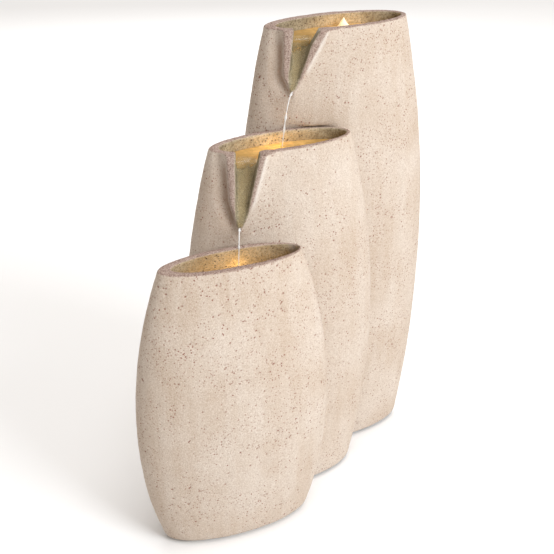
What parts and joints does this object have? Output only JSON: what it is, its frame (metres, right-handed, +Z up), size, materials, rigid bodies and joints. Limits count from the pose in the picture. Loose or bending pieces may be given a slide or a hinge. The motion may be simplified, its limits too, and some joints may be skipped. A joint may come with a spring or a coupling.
{
  "type": "tabletop water fountain",
  "caption": "Cascading oval cast-stone vases with V-shaped spouts, lit basins and a reservoir with a submersible pump below a lift-out tray.",
  "frame": {"origin": "on the table at the middle of the object's plan", "axes": "+Z up; +X along the vases' long axis towards the tall vase; -Y towards the viewer, the side that the spouts face"},
  "size_m": [0.34, 0.19, 0.45],
  "materials": {
    "cast_stone": "matte sand-cast, speckled and pitted",
    "basin_resin": "matte",
    "black_plastic": "fine moulded texture",
    "grey_plastic": "satin",
    "white_plastic": "satin",
    "steel": "bright zinc",
    "lamination": "laminated",
    "rubber": "matte",
    "white_ceramic": "polished",
    "sponge": "open-cell foam",
    "clear_hose": "clear silicone",
    "lead_jacket": "satin",
    "light_board": "bare board with an emitter",
    "lamp_lens": "clear dome"
  },
  "bodies": {
    "root": {"cable_gland": "black_plastic", "cover_screws": "steel", "diffuser_cap": "black_plastic", "front_lamp_board": "light_board", "front_lamp_body": "black_plastic", "front_lamp_bracket": "black_plastic", "front_lamp_lead": "lead_jacket", "front_lamp_lens": "lamp_lens", "front_passage_grommet": "rubber", "front_vase": "cast_stone", "gland_nut": "black_plastic", "hose_clamps": "steel", "intake_cap": "black_plastic", "intake_sponge": "sponge", "junction_box": "black_plastic", "junction_lid": "black_plastic", "lamp_nuts": "black_plastic", "lid_screws": "steel", "middle_base_cover": "black_plastic", "middle_basin_floor": "basin_resin", "middle_lamp_board": "light_board", "middle_lamp_body": "black_plastic", "middle_lamp_lead": "lead_jacket", "middle_lamp_lens": "lamp_lens", "middle_passage_grommet": "rubber", "middle_vase": "cast_stone", "pump_end_cap": "black_plastic", "pump_face": "black_plastic", "pump_housing": "black_plastic", "pump_lead": "lead_jacket", "pump_stator": "lamination", "pump_volute": "black_plastic", "riser_hose": "clear_hose", "rotor_shaft": "white_ceramic", "rubber_feet": "rubber", "standpipe": "black_plastic", "standpipe_gasket": "rubber", "standpipe_nut": "black_plastic", "suction_cups": "rubber", "tall_base_cover": "black_plastic", "tall_basin_floor": "basin_resin", "tall_lamp_board": "light_board", "tall_lamp_body": "black_plastic", "tall_lamp_lead": "lead_jacket", "tall_lamp_lens": "lamp_lens", "tall_vase": "cast_stone", "terminal_block": "white_plastic"},
    "rotor": {"impeller_rotor": "grey_plastic"},
    "knob": {"flow_knob": "grey_plastic"},
    "tray": {"splash_tray": "black_plastic"}
  },
  "joints": [
    {"name": "rotor_spin", "type": "hinge", "parent": "root", "child": "rotor", "pos_m": [-0.069, -0.053, 0.03], "axis": [1, 0, 0], "continuous": true},
    {"name": "knob_turn", "type": "hinge", "parent": "root", "child": "knob", "pos_m": [-0.059, -0.053, 0.03], "axis": [1, 0, 0], "range_deg": [0, 90]},
    {"name": "tray_lift", "type": "slide", "parent": "root", "child": "tray", "axis": [0, 0, 1], "range_m": [0, 0.06]}
  ]
}
